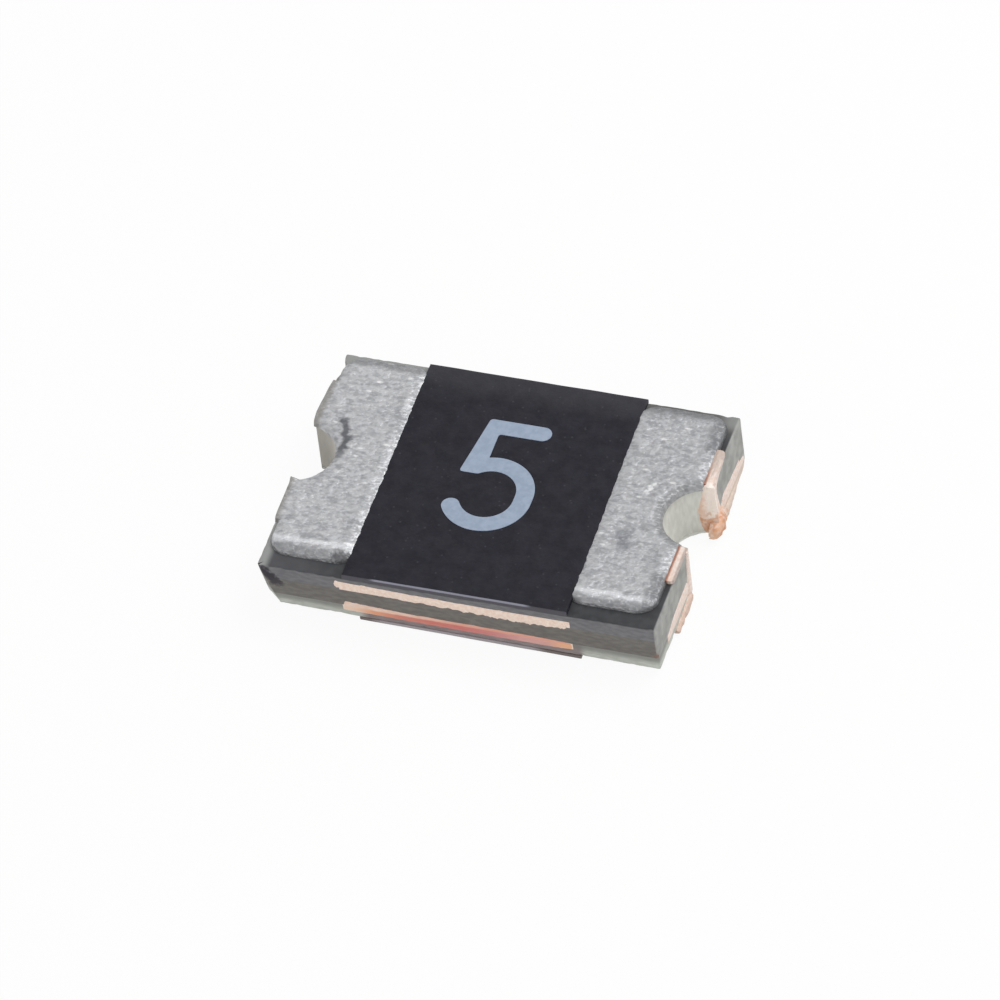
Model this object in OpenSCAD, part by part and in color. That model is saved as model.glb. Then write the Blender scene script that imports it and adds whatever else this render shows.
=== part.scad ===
// Resettable fuse: a flat surface-mount chip, laminated like a circuit board and sawn from a panel.
// A conductive polymer core lies between two copper foils, with glass-epoxy over both.
// Half of a plated hole at each end joins a top pad, one foil and a bottom pad.
// Sizes are in millimetres. +X runs along the length, +Y across the width and +Z up.
// The origin is the middle of the sawn outline, on the plane that the bottom pads rest on.

/* [Sawn outline] */
// Length of the chip between its two sawn ends
chip_length = 3.35; // [3.00:0.01:3.43]
// Width of the chip between its two sawn sides
chip_width = 2.40; // [2.35:0.01:2.80]
// Width of the saw cut between two chips of a panel; the end holes are drilled on its middle line
saw_cut = 0.10; // [0.06:0.01:0.14]
// How far the panel's pattern lies off the middle of the sawn outline, along the length
pattern_shift_x = -0.02; // [-0.03:0.005:0.03]
// How far the panel's pattern lies off the middle of the sawn outline, across the width
pattern_shift_y = 0.05; // [-0.06:0.005:0.06]
// How far the broken corner at the front left reaches along each side, at the bottom of the board
broken_corner = 0.14; // [0.05:0.01:0.18]
// How far the same broken corner reaches along each side, at the top of the board
broken_corner_top = 0.02; // [0.01:0.005:0.04]

/* [Layers] */
// Thickness of the conductive polymer core
core_thickness = 0.20; // [0.15:0.01:0.30]
// Thickness of each electrode foil
foil_thickness = 0.07; // [0.04:0.005:0.08]
// Thickness of the glass-epoxy over each foil
prepreg_thickness = 0.07; // [0.05:0.005:0.12]
// Thickness of the copper of the pads and of the plated holes
copper_thickness = 0.035; // [0.025:0.001:0.045]
// Thickness of the tin over the copper
tin_thickness = 0.015; // [0.010:0.001:0.020]
// How much lower than the tinned pads each solder mask stays
mask_setback = 0.008; // [0.006:0.001:0.009]

/* [Terminals] */
// Radius of the finished hole, inside its tin
hole_radius = 0.345; // [0.28:0.005:0.38]
// Length of each copper pad
pad_length = 0.70; // [0.60:0.01:0.75]
// Bare strip along each side of a copper pad, before the pattern's shift
pad_side_gap = 0.125; // [0.10:0.005:0.20]
// Radius of the pad corners
pad_corner = 0.14; // [0.08:0.01:0.20]
// How much narrower than its pad the neck is that runs on to the sawn end, on each side
neck_inset = 0.34; // [0.25:0.005:0.40]
// Distance from the middle of a hole to the end of its pad, where only the neck goes on
pad_end_gap = 0.125; // [0.11:0.005:0.15]

/* [Electrode foils] */
// Strip along each side of a foil that is etched away next to the terminals
foil_side_gap = 0.20; // [0.14:0.01:0.30]
// Gap between a foil and the hole at the end it is not joined to
foil_gap = 0.25; // [0.15:0.01:0.30]
// How far the full-width middle of each foil reaches beyond the solder mask
tie_reach = 0.035; // [0.02:0.005:0.06]

/* [Solder mask and mark] */
// How far each solder mask covers the inner end of a pad
mask_overlap = 0.035; // [0.025:0.005:0.05]
// How far the right edge of the upper mask leans over the width of the chip
mask_lean = 0.04; // [0.00:0.005:0.045]
// How far the lower mask is printed off the pattern, towards the right end
lower_mask_shift = 0.09; // [0.00:0.005:0.10]
// Height of the printed numeral
mark_height = 1.21; // [0.90:0.01:1.25]
// Place of the numeral's bowl along the length, from the middle of the pattern
mark_x = -0.045; // [-0.10:0.005:0.10]
// Place of the numeral's middle across the width, from the middle of the pattern
mark_y = 0.055; // [-0.10:0.005:0.10]
// Thickness of the printed ink
ink_thickness = 0.005; // [0.003:0.001:0.006]

/* [Hidden] */
$fn = 96;
pad_stack = copper_thickness + tin_thickness;
mask_thickness = pad_stack - mask_setback;
cover_thickness = prepreg_thickness + foil_thickness;
board_bottom = pad_stack;
core_bottom = board_bottom + cover_thickness;
core_top = core_bottom + core_thickness;
board_top = core_top + cover_thickness;
board_thickness = board_top - board_bottom;
hole_offset = (chip_length + saw_cut) / 2;
copper_bore = hole_radius + tin_thickness;
drill_radius = copper_bore + copper_thickness;
pad_outer = hole_offset - pad_end_gap;
pad_inner = pad_outer - pad_length;
pad_width = chip_width - 2 * pad_side_gap;
neck_width = pad_width - 2 * neck_inset;
mask_half_length = pad_inner + mask_overlap;
foil_width = chip_width - 2 * foil_side_gap;
foil_end = hole_offset - drill_radius - foil_gap;
tie_half_length = mask_half_length + tie_reach;
mark_stroke = 0.124 * mark_height;
// Longer than anything on the chip, for cuts that must pass right through
beyond = 2 * chip_length;

// The sawn outline of the chip
module chip_outline() {
    square([chip_length, chip_width], center = true);
}

// Places what was etched, drilled or printed on the panel before sawing
module on_panel() {
    translate([pattern_shift_x, pattern_shift_y])
        children();
}

// The hole of one end (side is -1 at the left and 1 at the right), at a given radius
module end_hole(side, radius) {
    on_panel()
        translate([side * hole_offset, 0])
            circle(radius);
}

// A rectangle with round corners that runs from x_start to x_end and lies evenly about the X axis
module round_rectangle(x_start, x_end, width, corner) {
    translate([x_start, corner - width / 2])
        square([x_end - x_start, width - 2 * corner]);
    translate([x_start + corner, -width / 2])
        square([x_end - x_start - 2 * corner, width]);
    for (x = [x_start + corner, x_end - corner])
        for (y = [corner - width / 2, width / 2 - corner])
            translate([x, y])
                circle(corner);
}

// A right-hand pad without its neck, grown by a given coat on every edge
module pad_outline(coat) {
    round_rectangle(pad_inner - coat, pad_outer + coat, pad_width + 2 * coat, pad_corner + coat);
}

// The neck that joins a right-hand pad to the hole and to the next chip of the panel
module neck_outline() {
    translate([pad_outer - pad_length / 2, -neck_width / 2])
        square([pad_length, neck_width]);
}

// Puts a right-hand outline on one end and cuts it off at the sawn outline
module at_end(side) {
    intersection() {
        on_panel()
            mirror([side < 0 ? 1 : 0, 0])
                children();
        chip_outline();
    }
}

// The printed outline of a mask, with its right edge leaning by a given amount, shifted along the length
module mask_outline(lean, shift) {
    intersection() {
        on_panel()
            translate([shift, 0])
                polygon([[-mask_half_length, -chip_width],
                         [mask_half_length + lean, -chip_width],
                         [mask_half_length - lean, chip_width],
                         [-mask_half_length, chip_width]]);
        chip_outline();
    }
}

// The etched outline of a foil: joined to the hole at one end and full width only in the middle
module foil_outline(side) {
    difference() {
        intersection() {
            on_panel()
                mirror([side < 0 ? 1 : 0, 0]) {
                    translate([-foil_end, -foil_width / 2])
                        square([beyond, foil_width]);
                    square([2 * tie_half_length, beyond], center = true);
                }
            chip_outline();
        }
        end_hole(side, drill_radius);
    }
}

// Turns an upper layer over, about the middle of the board
module underneath() {
    translate([0, 0, board_bottom + board_top])
        mirror([0, 0, 1])
            children();
}

// A layer of the board from one height to another, drilled at both ends
module drilled_layer(bottom, thickness) {
    translate([0, 0, bottom])
        linear_extrude(thickness)
            difference() {
                chip_outline();
                end_hole(-1, drill_radius);
                end_hole(1, drill_radius);
            }
}

// The wedge lost at the front left corner; it grows towards the bottom of the board
module broken_wedge() {
    slope = atan((broken_corner - broken_corner_top) * sqrt(0.5) / board_thickness);
    translate([broken_corner_top - chip_length / 2, -chip_width / 2, board_top])
        rotate([0, 0, 45])
            rotate([0, -slope, 0])
                translate([-beyond, -beyond, -beyond])
                    cube([beyond, 2 * beyond, 2 * beyond]);
}

// The foil on top of the core, joined to the hole of one end
module foil(side) {
    translate([0, 0, core_top])
        linear_extrude(foil_thickness)
            foil_outline(side);
}

// The glass-epoxy over that foil; its resin fills what is etched away
module prepreg(side) {
    difference() {
        drilled_layer(core_top, cover_thickness);
        foil(side);
    }
}

module ptc_core() {
    color("dimgray")
        difference() {
            drilled_layer(core_bottom, core_thickness);
            broken_wedge();
        }
}

module upper_foil() {
    color("peru")
        foil(-1);
}

module lower_foil() {
    color("peru")
        underneath()
            foil(1);
}

module upper_prepreg() {
    color("slategray")
        difference() {
            prepreg(-1);
            broken_wedge();
        }
}

module lower_prepreg() {
    color("lightgray")
        difference() {
            underneath()
                prepreg(1);
            broken_wedge();
        }
}

// A half hole of one end; it goes on by a given reach above and below the board
module half_hole(side, radius, reach) {
    translate([0, 0, board_bottom - reach])
        linear_extrude(board_thickness + 2 * reach)
            intersection() {
                end_hole(side, radius);
                chip_outline();
            }
}

// Copper of the top pad of one end
module copper_pad(side) {
    translate([0, 0, board_top])
        linear_extrude(copper_thickness)
            at_end(side) {
                pad_outline(0);
                neck_outline();
            }
}

// Copper of one end: a top pad, a bottom pad and the half hole, which ends inside both
module terminal(side) {
    difference() {
        union() {
            copper_pad(side);
            underneath()
                copper_pad(side);
            half_hole(side, drill_radius, copper_thickness / 2);
        }
        half_hole(side, copper_bore, beyond);
    }
}

// Tin on the top pad of one end, up to a mask of a given lean and shift: a lid on the copper and a wall around it.
// The neck stays bare, because the chip is sawn off there.
module tin_coat(side, lean, shift) {
    difference() {
        union() {
            translate([0, 0, board_top + copper_thickness])
                linear_extrude(tin_thickness)
                    at_end(side)
                        pad_outline(tin_thickness);
            translate([0, 0, board_top])
                linear_extrude(pad_stack)
                    at_end(side)
                        difference() {
                            pad_outline(tin_thickness);
                            pad_outline(0);
                            neck_outline();
                        }
        }
        translate([0, 0, core_top])
            linear_extrude(beyond)
                mask_outline(lean, shift);
    }
}

// Tin of one end: a coat on each pad and the lining of the half hole, which ends inside both
module tin(side) {
    difference() {
        union() {
            tin_coat(side, mask_lean, 0);
            underneath()
                tin_coat(side, 0, lower_mask_shift);
            half_hole(side, copper_bore, copper_thickness + tin_thickness / 2);
        }
        half_hole(side, hole_radius, beyond);
    }
}

module left_terminal() {
    color("sandybrown")
        terminal(-1);
}

module right_terminal() {
    color("sandybrown")
        terminal(1);
}

module left_tin() {
    color("silver")
        tin(-1);
}

module right_tin() {
    color("silver")
        tin(1);
}

// The mask on top of the board; it laps over the inner end of both copper pads
module solder_mask(lean, shift) {
    difference() {
        translate([0, 0, board_top])
            linear_extrude(mask_thickness)
                mask_outline(lean, shift);
        copper_pad(-1);
        copper_pad(1);
    }
}

module upper_mask() {
    color([0.16, 0.16, 0.18])
        solder_mask(mask_lean, 0);
}

module lower_mask() {
    color([0.16, 0.16, 0.18])
        underneath()
            solder_mask(0, lower_mask_shift);
}

// The numeral: a bar with a round end, a leaning stem and an open bowl.
// It stands on the X axis, with the middle of its bowl on the Y axis.
module numeral() {
    half_stroke = mark_stroke / 2;
    bowl_radius = 0.246 * mark_height;
    bowl_low = bowl_radius + half_stroke;
    bowl_high = bowl_low + 0.052 * mark_height;
    bar_start = -0.18 * mark_height;
    bar_end = 0.20 * mark_height;
    stem_width = 0.75 * mark_stroke;
    stem_lean = 0.07 * mark_height;
    stem_foot = 0.50 * mark_height;
    bowl_joint = -0.165 * mark_height;
    // Where the lower end of the bowl stops, as an angle below the level line
    tail_angle = 29;

    translate([bar_start, mark_height - mark_stroke])
        square([bar_end - bar_start, mark_stroke]);
    translate([bar_end, mark_height - half_stroke])
        circle(half_stroke);
    polygon([[bar_start - stem_lean, stem_foot],
             [bar_start - stem_lean + stem_width, stem_foot],
             [bar_start + stem_width, bowl_high + bowl_low],
             [bar_start + stem_width, mark_height],
             [bar_start, mark_height]]);
    translate([-bowl_radius * cos(tail_angle), bowl_low - bowl_radius * sin(tail_angle)])
        circle(half_stroke);
    difference() {
        bowl_disc(bowl_radius + half_stroke, bowl_low, bowl_high);
        bowl_disc(bowl_radius - half_stroke, bowl_low, bowl_high);
        polygon([[0, bowl_low],
                 [0, stem_foot],
                 [bowl_joint, stem_foot],
                 [bowl_joint, mark_height],
                 [-beyond, mark_height],
                 [-beyond, bowl_low - beyond * tan(tail_angle)]]);
    }
}

// A disc drawn out upwards from one height to another
module bowl_disc(radius, low, high) {
    for (height = [low, high])
        translate([0, height])
            circle(radius);
    translate([-radius, low])
        square([2 * radius, high - low]);
}

module rating_mark() {
    color("lightsteelblue")
        translate([0, 0, board_top + mask_thickness])
            linear_extrude(ink_thickness)
                on_panel()
                    translate([mark_x, mark_y - mark_height / 2])
                        numeral();
}

ptc_core();
upper_foil();
lower_foil();
upper_prepreg();
lower_prepreg();
left_terminal();
right_terminal();
left_tin();
right_tin();
upper_mask();
lower_mask();
rating_mark();
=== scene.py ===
"""Resettable fuse, a flat surface-mount chip sawn from a laminated panel.

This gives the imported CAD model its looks. Shapes are drawn in millimetres, in the CAD frame, and scaled
to metres when a piece is finished.
"""
import math

import bmesh
import bpy
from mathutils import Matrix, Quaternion, Vector, noise


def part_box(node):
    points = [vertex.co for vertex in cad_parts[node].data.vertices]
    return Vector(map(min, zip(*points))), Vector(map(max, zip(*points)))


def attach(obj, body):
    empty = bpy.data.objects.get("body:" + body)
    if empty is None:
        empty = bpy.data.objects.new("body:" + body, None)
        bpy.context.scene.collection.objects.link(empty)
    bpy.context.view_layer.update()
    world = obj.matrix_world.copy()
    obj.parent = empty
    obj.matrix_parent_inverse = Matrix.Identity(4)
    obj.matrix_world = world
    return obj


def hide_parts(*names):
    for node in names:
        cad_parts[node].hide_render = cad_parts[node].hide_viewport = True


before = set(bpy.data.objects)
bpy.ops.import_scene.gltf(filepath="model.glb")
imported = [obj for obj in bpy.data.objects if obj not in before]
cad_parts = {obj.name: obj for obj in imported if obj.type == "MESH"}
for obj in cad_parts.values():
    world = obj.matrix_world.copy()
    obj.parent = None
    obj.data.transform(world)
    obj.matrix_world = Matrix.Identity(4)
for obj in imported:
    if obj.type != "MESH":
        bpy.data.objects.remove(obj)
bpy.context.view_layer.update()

MM = 0.001
UP = Vector((0, 0, 1))
# How close two coordinates count as the same
TOUCH = 0.002


def node_box(node):
    """Lowest and highest corner of a CAD node, in millimetres."""
    low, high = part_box(node)
    return low / MM, high / MM


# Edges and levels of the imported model
chip_low, chip_high = node_box("ptc_core")
left_copper_end = node_box("left_terminal")[1].x
right_copper_low, right_copper_high = node_box("right_terminal")
upper_mask_low, upper_mask_high = node_box("upper_mask")
lower_mask_low, lower_mask_high = node_box("lower_mask")
mark_low, mark_high = node_box("rating_mark")
board_bottom = node_box("lower_prepreg")[0].z
board_top = node_box("upper_prepreg")[1].z
board_middle = (board_bottom + board_top) / 2
pad_top = node_box("right_tin")[1].z
pattern_x = (left_copper_end + right_copper_low.x) / 2
pattern_y = (right_copper_low.y + right_copper_high.y) / 2
pad_inner = right_copper_low.x - pattern_x
pad_half_width = (right_copper_high.y - right_copper_low.y) / 2

# Sizes of the terminals that no box gives, the same as in the CAD source
HOLE_OFFSET = 1.725
NECK_HALF_WIDTH = 0.735

# Softened shapes of the tin: the rim of the half holes, the outer ends of the coats, and their corners
RIM_RADIUS = 0.328
LEFT_TIN_OUTER = 1.625
RIGHT_TIN_OUTER = 1.638
TIN_CORNER = 0.168
# How far the tin grows past the pads and under the masks, and how far behind the sawn ends it stops
TIN_GROWTH = 0.028
MASK_OVERLAP = 0.03
TIN_SETBACK = 0.003
# How deep the coats stand in the board, the height over it at which their grain starts, and their cell
TIN_ROOT = 0.01
GRAIN_START = 0.003
TIN_CELL = 0.017
# Grain of the coats, coarse, fine and ragged beside a mask: size and height of its lumps
COARSE_GRAIN = (0.06, 0.003)
FINE_GRAIN = (0.03, 0.002)
MASK_SIDE_GRAIN = (0.04, 0.005)
# How far the upper mask's right edge runs inward from front to back
MASK_LEAN = 0.038
# The tin's edge rises steeply at its foot and then gently up to a bead
FOOT_WIDTH = 0.028
FOOT_RISE = 0.041
SKIRT_WIDTH = 0.11
BEAD_WIDTH = 0.06
BEAD_RISE = 0.004
# Swellings of the tin on the left neck: place across the chip, height, reach and push
NECK_SWELLS = ((0.45, board_top, 0.35, (0.025, 0, 0)),
               (NECK_HALF_WIDTH, board_top, 0.2, (0, 0.07, 0)),
               (-0.31, pad_top, 0.08, (0.005, 0.02, 0.04)))
# The lining of a half hole: its distance behind the rim, its thickness, and its rise over the board
LINING_SETBACK = 0.002
LINING_DEPTH = 0.02
LINING_RISE = 0.006

# Rounding of a mask's rim, how far over the board its outside begins, and size and height of the lumps there
MASK_WEAR = 0.01
MASK_OUTSIDE = 0.03
MASK_GRAIN = (0.3, 0.002)

# Roundness that the ink leaves at the numeral's corners
INK_CORNER = 0.025

# Wear that sawing leaves: rounded edges, and waves that fade out at a reach behind a sawn face
EDGE_WEAR = 0.014
NECK_WEAR = 0.035
BOARD_CELL = 0.04
SAW_WAVE = 0.003
SAW_WAVE_LENGTH = 0.11
SAW_REACH = 0.1
# Chips along the board's outer edges: depth, length, height, the share spared and a shift of the pattern
EDGE_CHIP = 0.03
CHIP_LENGTH = 0.07
CHIP_HEIGHT = 0.03
CHIP_SPARED = 0.1
CHIP_SHIFT = Vector((7, 3, 1))
# The nip at the back left corner: depth, place across the chip and reach
CORNER_NIP = 0.035
NIP_PLACE = 1.03
NIP_REACH = 0.14
# How far the foot of the front face lies behind its top, at the left and at the right end
FRONT_LEAN_LEFT = 0.06
FRONT_LEAN_RIGHT = 0.02
# Where across the chip the lean begins, how much further it is whole, and how it bends towards the foot
LEAN_START = -0.9
LEAN_REACH = 0.25
LEAN_BEND = 1.5

# Copper smears: cell, size of their lumps, bluntness of their ends, and how far their rim sinks into the face
SMEAR_CELL = 0.015
SMEAR_LUMP = 0.05
SMEAR_BLUNT = 0.15
SMEAR_SINK = 0.004
# The share of their way that shows their direction, and the shares of their height in lumps and at ends
SMEAR_GLANCE = 0.02
LUMP_SHARE = 0.3
END_SHARE = 0.3
# Second waves of their edges: strength and fineness beside the first ones
SECOND_STRENGTH = 0.6
SECOND_FINENESS = 2.3

# How far the floor lies below the chip's pads
FLOOR_GAP = 0.002


# Making pieces

def share_of(distance, width):
    """How much of a width a distance covers, from 0 to 1."""
    return min(1.0, max(0.0, distance / width))


def smooth_share(distance, width):
    """The same, starting and ending softly."""
    share = share_of(distance, width)
    return share * share * (3 - 2 * share)


def verts_of(geometry):
    """The vertices in a mixed list of geometry."""
    return [part for part in geometry if isinstance(part, bmesh.types.BMVert)]


def open_edges(shape):
    """The edges around what is left open in a shape."""
    return [edge for edge in shape.edges if edge.is_boundary]


def close_holes(shape):
    """Closes what is left open in a shape."""
    bmesh.ops.holes_fill(shape, edges=open_edges(shape))


def fill_outline(draft):
    """Turns a closed path into one flat face."""
    bmesh.ops.remove_doubles(draft, verts=draft.verts, dist=0.0005)
    bmesh.ops.contextual_create(draft, geom=draft.edges[:])


def cut(shape, place, normal, clear=False):
    """Cuts a shape along a plane; with clear, what lies beyond it goes and the cut stays open."""
    geometry = shape.verts[:] + shape.edges[:] + shape.faces[:]
    bmesh.ops.bisect_plane(shape, geom=geometry, dist=1e-5, plane_co=place, plane_no=normal,
                           clear_outer=clear)


def slice_shape(shape, axis, start, end, step):
    """Cuts a shape across one axis at even steps, so that it can be roughened."""
    normal = Vector((0, 0, 0))
    normal[axis] = 1
    for index in range(1, round((end - start) / step)):
        cut(shape, normal * (start + index * step), normal)


def round_off(shape, corners, width, segments, affect="EDGES"):
    """Rounds edges of a shape, or the corners of a flat one."""
    bmesh.ops.bevel(shape, geom=corners, offset=width, affect=affect, segments=segments, profile=0.5,
                    material=-1)


def roughen(verts, size, amount, drift=0):
    """Moves vertices in and out along their normals, in lumps of a given size."""
    shift = Vector((drift, 2 * drift, 0))
    moves = [vert.normal * amount * noise.noise(vert.co / size + shift) for vert in verts]
    for vert, move in zip(verts, moves):
        vert.co += move


def lean_front(verts):
    """Draws the sawn front face back towards its foot, more at the left than at the right."""
    for vert in verts:
        across = (vert.co.x - chip_low.x) / (chip_high.x - chip_low.x)
        down = (board_top - vert.co.z) / (board_top - board_bottom)
        lean = FRONT_LEAN_LEFT + (FRONT_LEAN_RIGHT - FRONT_LEAN_LEFT) * across
        near = share_of(LEAN_START - vert.co.y, LEAN_REACH)
        vert.co.y += near * lean * max(0.0, down) ** LEAN_BEND


def new_mesh(shape, name):
    """A mesh of a finished shape."""
    mesh = bpy.data.meshes.new(name)
    shape.to_mesh(mesh)
    shape.free()
    return mesh


def add_object(name, data):
    """A new object in the scene."""
    made = bpy.data.objects.new(name, data)
    bpy.context.collection.objects.link(made)
    return made


def add_shape(shape, draft):
    """Puts a finished draft into a larger shape."""
    mesh = new_mesh(draft, "draft")
    shape.from_mesh(mesh)
    bpy.data.meshes.remove(mesh)


def make_piece(shape, name, finish, nodes=(), crease=40):
    """Turns a shape into a piece that stands for the given CAD nodes, with nothing below the chip's pads."""
    lean_front(shape.verts)
    for vert in shape.verts:
        vert.co.z = max(vert.co.z, 0.0)
    bmesh.ops.remove_doubles(shape, verts=shape.verts, dist=0.0001)
    bmesh.ops.recalc_face_normals(shape, faces=shape.faces)
    bmesh.ops.scale(shape, vec=(MM, MM, MM), verts=shape.verts)
    mesh = new_mesh(shape, name)
    mesh.shade_smooth()
    mesh.set_sharp_from_angle(angle=math.radians(crease))
    mesh.materials.append(finish)
    piece = add_object(name, mesh)
    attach(piece, "root")
    if nodes:
        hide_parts(*nodes)


# Finishes

def linear(shade):
    """A colour as it looks on screen, from 0 to 255, as the linear colour that a shader takes."""
    shares = [channel / 255 for channel in shade]
    parts = [share / 12.92 if share <= 0.04045 else ((share + 0.055) / 1.055) ** 2.4 for share in shares]
    return (*parts, 1)


def add_node(tree, kind, settings=None, **inputs):
    """Adds a node; an input is a plain value or the socket that feeds it."""
    node = tree.nodes.new(kind)
    for name, value in (settings or {}).items():
        setattr(node, name, value)
    for name, value in inputs.items():
        socket = node.inputs[int(name[1:])] if name[0] == "i" and name[1:].isdigit() else node.inputs[name]
        if isinstance(value, bpy.types.NodeSocket):
            tree.links.new(value, socket)
        else:
            socket.default_value = value
    return node


def math_node(tree, operation, first, second=0.0):
    """The result of one sum."""
    return add_node(tree, "ShaderNodeMath", {"operation": operation}, i0=first, i1=second).outputs[0]


def vector_node(tree, operation, place, **inputs):
    """The outputs of one sum with a vector."""
    return add_node(tree, "ShaderNodeVectorMath", {"operation": operation}, i0=place, **inputs).outputs


def ramp_value(tree, value, low, high, floor=0.0, top=1.0):
    """A value stretched from one range to another, smoothly and kept inside it."""
    settings = {"interpolation_type": "SMOOTHSTEP"}
    node = add_node(tree, "ShaderNodeMapRange", settings, i0=value, i1=low, i2=high, i3=floor, i4=top)
    return node.outputs[0]


def make_grain_group():
    """Grain at a given size in millimetres: fine grain, coarse blotches and rare specks, each from 0 to 1."""
    tree = bpy.data.node_groups.new("grain", "ShaderNodeTree")
    tree.interface.new_socket("Size", in_out="INPUT", socket_type="NodeSocketFloat")
    tree.interface.new_socket("Stretch", in_out="INPUT", socket_type="NodeSocketVector")
    for name in ("Fine", "Blotches", "Specks"):
        tree.interface.new_socket(name, in_out="OUTPUT", socket_type="NodeSocketFloat")
    entry = add_node(tree, "NodeGroupInput")
    leave = add_node(tree, "NodeGroupOutput")
    place = add_node(tree, "ShaderNodeTexCoord").outputs["Object"]
    per_metre = math_node(tree, "DIVIDE", 1 / MM, entry.outputs["Size"])
    scaled = vector_node(tree, "SCALE", place, Scale=per_metre)[0]
    along = vector_node(tree, "DIVIDE", scaled, i1=entry.outputs["Stretch"])[0]
    fine = add_node(tree, "ShaderNodeTexNoise", Vector=along, Scale=1.0, Detail=1.5, Roughness=0.5)
    blotches = add_node(tree, "ShaderNodeTexNoise", Vector=along, Scale=0.18, Detail=2.0)
    specks = add_node(tree, "ShaderNodeTexVoronoi", Vector=along, Scale=0.45)
    tree.links.new(ramp_value(tree, fine.outputs[0], 0.3, 0.7), leave.inputs["Fine"])
    tree.links.new(ramp_value(tree, blotches.outputs[0], 0.35, 0.65), leave.inputs["Blotches"])
    tree.links.new(ramp_value(tree, specks.outputs["Distance"], 0.16, 0.06), leave.inputs["Specks"])
    return tree


def make_place_group():
    """The place on the chip in millimetres, from Object coordinates."""
    tree = bpy.data.node_groups.new("place on chip", "ShaderNodeTree")
    for name in ("X", "Y", "Z"):
        tree.interface.new_socket(name, in_out="OUTPUT", socket_type="NodeSocketFloat")
    leave = add_node(tree, "NodeGroupOutput")
    place = add_node(tree, "ShaderNodeTexCoord").outputs["Object"]
    scaled = vector_node(tree, "SCALE", place, Scale=1 / MM)[0]
    split = add_node(tree, "ShaderNodeSeparateXYZ", i0=scaled)
    for name in ("X", "Y", "Z"):
        tree.links.new(split.outputs[name], leave.inputs[name])
    return tree


grain_group = make_grain_group()
place_group = make_place_group()


class Finish:
    """A material whose colour is built up from shades laid over each other; its places are in millimetres."""

    def __init__(self, name, **plain):
        """Starts with the shader values that are the same all over."""
        self.material = bpy.data.materials.new(name)
        self.material.use_nodes = True
        self.tree = self.material.node_tree
        self.shader = self.tree.nodes["Principled BSDF"]
        for socket, value in plain.items():
            self.shader.inputs[socket.replace("_", " ")].default_value = value
        self.x, self.y, self.z = add_node(self.tree, "ShaderNodeGroup", {"node_tree": place_group}).outputs
        self.colour = None

    def grain(self, size, stretch=(1, 1, 1)):
        """The shared grain at one size."""
        settings = {"node_tree": grain_group}
        return add_node(self.tree, "ShaderNodeGroup", settings, Size=size, Stretch=stretch).outputs

    def math(self, operation, first, second=0.0):
        """The result of one sum."""
        return math_node(self.tree, operation, first, second)

    def both(self, first, second):
        """The product of two values, which shows where two masks meet."""
        return self.math("MULTIPLY", first, second)

    def ramp(self, value, low, high, floor=0.0, top=1.0):
        """A value stretched from one range to another, smoothly and kept inside it."""
        return ramp_value(self.tree, value, low, high, floor, top)

    def between(self, value, low, high, softness):
        """A mask that is 1 where a value lies between two limits, with soft ends outside them."""
        return self.both(self.ramp(value, low - softness, low), self.ramp(value, high + softness, high))

    def near_point(self, point, radius, softness):
        """A mask that is 1 inside a ball, with a ragged soft rim."""
        place = add_node(self.tree, "ShaderNodeTexCoord").outputs["Object"]
        distance = vector_node(self.tree, "DISTANCE", place, i1=Vector(point) * MM)["Value"]
        ragged = self.ramp(self.grain(0.04)["Fine"], 0.0, 1.0, 0.7, 1.3)
        return self.ramp(self.both(distance, ragged), (radius + softness) * MM, radius * MM)

    def near_top(self):
        """A mask that is 1 on the upper half of the chip."""
        return self.ramp(self.z, board_middle, board_middle + 0.1)

    def from_axis(self, x, y):
        """The distance from an upright axis."""
        across = self.math("SUBTRACT", self.x, x)
        along = self.math("SUBTRACT", self.y, y)
        return self.math("SQRT", self.math("ADD", self.both(across, across), self.both(along, along)))

    def from_hole(self, side):
        """The distance from the axis of a half hole: side is 1 at the right and -1 at the left."""
        return self.from_axis(pattern_x + side * HOLE_OFFSET, pattern_y)

    def mix(self, share, *shades):
        """One shade turning into another by a share; each is a mix of its own or a colour as on screen."""
        first, second = (linear(shade) if isinstance(shade, tuple) else shade for shade in shades)
        settings = {"data_type": "RGBA", "clamp_factor": True}
        return add_node(self.tree, "ShaderNodeMix", settings, i0=share, i6=first, i7=second).outputs[2]

    def lay(self, shade, mask, strength=1.0):
        """Lays a shade over the colour by a mask, at a strength that may be a mask too."""
        self.colour = self.mix(self.both(mask, strength), self.colour, shade)

    def done(self, texture, roughness, depth, mottle="Fine"):
        """Feeds the shader the colour, a roughness and a bump, and gives the material.

        The roughness goes from one value to another with the named output of a grain. The bump follows the
        fine grain to a depth in millimetres.
        """
        feeds = self.shader.inputs
        self.tree.links.new(self.colour, feeds["Base Color"])
        self.tree.links.new(self.ramp(texture[mottle], 0.0, 1.0, *roughness), feeds["Roughness"])
        relief = add_node(self.tree, "ShaderNodeBump", Height=texture["Fine"], Distance=depth * MM)
        self.tree.links.new(relief.outputs[0], feeds["Normal"])
        return self.material


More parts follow.
